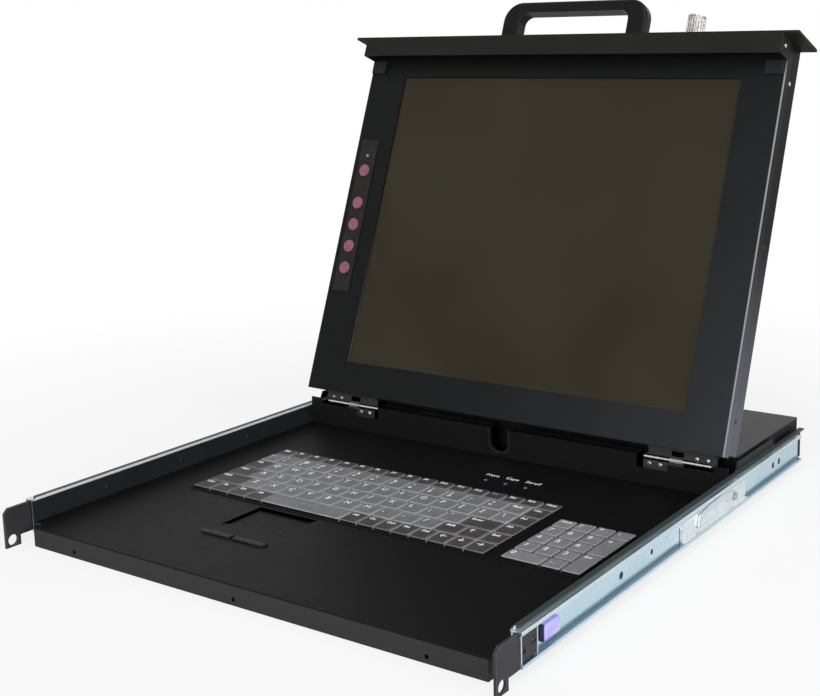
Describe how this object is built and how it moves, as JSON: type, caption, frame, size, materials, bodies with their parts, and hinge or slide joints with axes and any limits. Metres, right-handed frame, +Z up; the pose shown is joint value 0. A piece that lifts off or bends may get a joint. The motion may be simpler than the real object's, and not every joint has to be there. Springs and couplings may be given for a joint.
{
  "type": "rackmount lcd console drawer",
  "caption": "One-unit rack drawer with keyboard, numeric keys and touchpad on a sliding tray and a fold-up flat screen with handle on its front panel.",
  "frame": {"origin": "middle of the tray's front lip, on the plane of the tray's underside", "axes": "+X to the user's right, +Y towards the back of the rack, +Z up; drawer pushed home, LCD raised"},
  "size_m": [0.442, 0.471, 0.3942],
  "materials": {
    "black_paint": "fine textured black powder coat, satin",
    "panel_paint": "fine textured black powder coat, satin",
    "ear_paint": "dark grey paint, satin",
    "zinc_steel": "bright zinc plating, slightly blue",
    "lock_steel": "bright zinc plating, fresh",
    "lever_steel": "bright zinc plating",
    "screw_steel": "bright, worn edges",
    "black_screw": "black oxide",
    "lavender_plastic": "translucent lavender nylon",
    "cage_plastic": "natural nylon",
    "ball_steel": "polished",
    "edging_plastic": "soft black edging",
    "leaf_steel": "dark zinc",
    "rod_steel": "ground steel",
    "port_plastic": "moulded black",
    "circuit_board": "solder mask",
    "supply_case": "folded sheet",
    "keyboard_frame": "moulded grey, fine grain",
    "key_grey": "moulded grey, fine grain",
    "key_dark": "moulded dark grey, fine grain",
    "touch_plastic": "smooth black",
    "light_lens": "clear green lens, unlit",
    "bezel_plastic": "moulded black, fine grain",
    "screen_surface": "anti-glare film, dark",
    "module_metal": "pressed sheet",
    "strip_film": "printed film",
    "button_plastic": "translucent rose",
    "pad_rubber": "matt",
    "handle_paint": "satin black cast metal",
    "knob_chrome": "bright nickel"
  },
  "bodies": {
    "root": {"rack_rail_right": "zinc_steel", "rack_rail_left": "zinc_steel", "rack_ear_right": "ear_paint", "rack_ear_left": "ear_paint", "ear_screws": "black_screw", "slide_stops": "lavender_plastic", "lock_plates": "lock_steel", "lever_rivets": "screw_steel"},
    "release_lever_right": {"release_lever_right": "lever_steel"},
    "release_lever_left": {"release_lever_left": "lever_steel"},
    "ball_cages": {"ball_cages": "cage_plastic", "slide_balls": "ball_steel"},
    "drawer": {"slide_member_right": "zinc_steel", "slide_member_left": "zinc_steel", "tray_pan": "black_paint", "bottom_cover": "black_paint", "side_wall_right": "black_paint", "side_wall_left": "black_paint", "wall_rivets": "black_screw", "bulkhead": "black_paint", "notch_grommet": "edging_plastic", "chassis_leaves": "leaf_steel", "leaf_screws": "screw_steel", "rear_housing": "black_paint", "rear_cover": "black_paint", "rear_panel": "black_paint", "rear_ports": "port_plastic", "control_board": "circuit_board", "power_supply": "supply_case", "keyboard_base": "keyboard_frame", "touchpad_rim": "black_paint", "touchpad": "touch_plastic", "lock_lights": "light_lens"},
    "lcd": {"lcd_bezel": "bezel_plastic", "lcd_back_cover": "panel_paint", "lcd_screen": "screen_surface", "lcd_module": "module_metal", "driver_board": "circuit_board", "button_strip": "strip_film", "power_light": "light_lens", "corner_pads": "pad_rubber", "lcd_screws": "screw_steel", "front_panel": "panel_paint", "panel_skirt": "panel_paint", "handle": "handle_paint", "hinge_rods": "rod_steel", "lcd_leaves": "leaf_steel"},
    "thumb_screw": {"thumb_screw": "knob_chrome"},
    "function_keys": {"function_keys": "key_dark"},
    "character_keys": {"character_keys": "key_grey"},
    "bottom_row_keys": {"bottom_row_keys": "key_dark"},
    "space_bar": {"space_bar": "key_grey"},
    "numeric_keys": {"numeric_keys": "key_grey"},
    "left_touch_button": {"left_touch_button": "touch_plastic"},
    "right_touch_button": {"right_touch_button": "touch_plastic"},
    "power_button": {"power_button": "button_plastic"},
    "menu_button_a": {"menu_button_a": "button_plastic"},
    "menu_button_b": {"menu_button_b": "button_plastic"},
    "menu_button_c": {"menu_button_c": "button_plastic"},
    "menu_button_d": {"menu_button_d": "button_plastic"}
  },
  "joints": [
    {"name": "drawer_slide", "type": "slide", "parent": "root", "child": "drawer", "axis": [0, -1, 0], "range_m": [0, 0.33]},
    {"name": "cage_slide", "type": "slide", "parent": "root", "child": "ball_cages", "axis": [0, -1, 0], "range_m": [0, 0.165]},
    {"name": "lcd_hinge", "type": "hinge", "parent": "drawer", "child": "lcd", "pos_m": [0, 0.316, 0.0346], "axis": [1, 0, 0], "range_deg": [0, 110.9]},
    {"name": "release_lever_right", "type": "hinge", "parent": "root", "child": "release_lever_right", "pos_m": [0.2146, 0.3094, 0.0173], "axis": [-1, 0, 0], "range_deg": [0, 4], "stiffness_Nm_per_rad": 0.6, "springref_deg": -2.86},
    {"name": "release_lever_left", "type": "hinge", "parent": "root", "child": "release_lever_left", "pos_m": [-0.2146, 0.3094, 0.0173], "axis": [-1, 0, 0], "range_deg": [0, 4], "stiffness_Nm_per_rad": 0.6, "springref_deg": -2.86},
    {"name": "thumb_screw_turn", "type": "hinge", "parent": "lcd", "child": "thumb_screw", "pos_m": [0.121, 0.42763, 0.36127], "axis": [0, 0.3567, 0.9342], "continuous": true},
    {"name": "function_keys_press", "type": "slide", "parent": "drawer", "child": "function_keys", "axis": [0, 0, -1], "range_m": [0, 0.002], "stiffness_N_per_m": 1500, "springref_m": -0.002},
    {"name": "character_keys_press", "type": "slide", "parent": "drawer", "child": "character_keys", "axis": [0, 0, -1], "range_m": [0, 0.002], "stiffness_N_per_m": 1500, "springref_m": -0.002},
    {"name": "bottom_row_keys_press", "type": "slide", "parent": "drawer", "child": "bottom_row_keys", "axis": [0, 0, -1], "range_m": [0, 0.002], "stiffness_N_per_m": 1500, "springref_m": -0.002},
    {"name": "space_bar_press", "type": "slide", "parent": "drawer", "child": "space_bar", "axis": [0, 0, -1], "range_m": [0, 0.002], "stiffness_N_per_m": 1500, "springref_m": -0.002},
    {"name": "numeric_keys_press", "type": "slide", "parent": "drawer", "child": "numeric_keys", "axis": [0, 0, -1], "range_m": [0, 0.002], "stiffness_N_per_m": 1500, "springref_m": -0.002},
    {"name": "left_touch_button_press", "type": "slide", "parent": "drawer", "child": "left_touch_button", "axis": [0, 0, -1], "range_m": [0, 0.0008], "stiffness_N_per_m": 800, "springref_m": -0.001},
    {"name": "right_touch_button_press", "type": "slide", "parent": "drawer", "child": "right_touch_button", "axis": [0, 0, -1], "range_m": [0, 0.0008], "stiffness_N_per_m": 800, "springref_m": -0.001},
    {"name": "power_button_press", "type": "slide", "parent": "lcd", "child": "power_button", "axis": [0, 0.9342, -0.3567], "range_m": [0, 0.001], "stiffness_N_per_m": 800, "springref_m": -0.001},
    {"name": "menu_button_a_press", "type": "slide", "parent": "lcd", "child": "menu_button_a", "axis": [0, 0.9342, -0.3567], "range_m": [0, 0.001], "stiffness_N_per_m": 800, "springref_m": -0.001},
    {"name": "menu_button_b_press", "type": "slide", "parent": "lcd", "child": "menu_button_b", "axis": [0, 0.9342, -0.3567], "range_m": [0, 0.001], "stiffness_N_per_m": 800, "springref_m": -0.001},
    {"name": "menu_button_c_press", "type": "slide", "parent": "lcd", "child": "menu_button_c", "axis": [0, 0.9342, -0.3567], "range_m": [0, 0.001], "stiffness_N_per_m": 800, "springref_m": -0.001},
    {"name": "menu_button_d_press", "type": "slide", "parent": "lcd", "child": "menu_button_d", "axis": [0, 0.9342, -0.3567], "range_m": [0, 0.001], "stiffness_N_per_m": 800, "springref_m": -0.001}
  ],
  "couplings": [
    {"joint": "cage_slide", "follows": "drawer_slide", "ratio": 0.5}
  ]
}
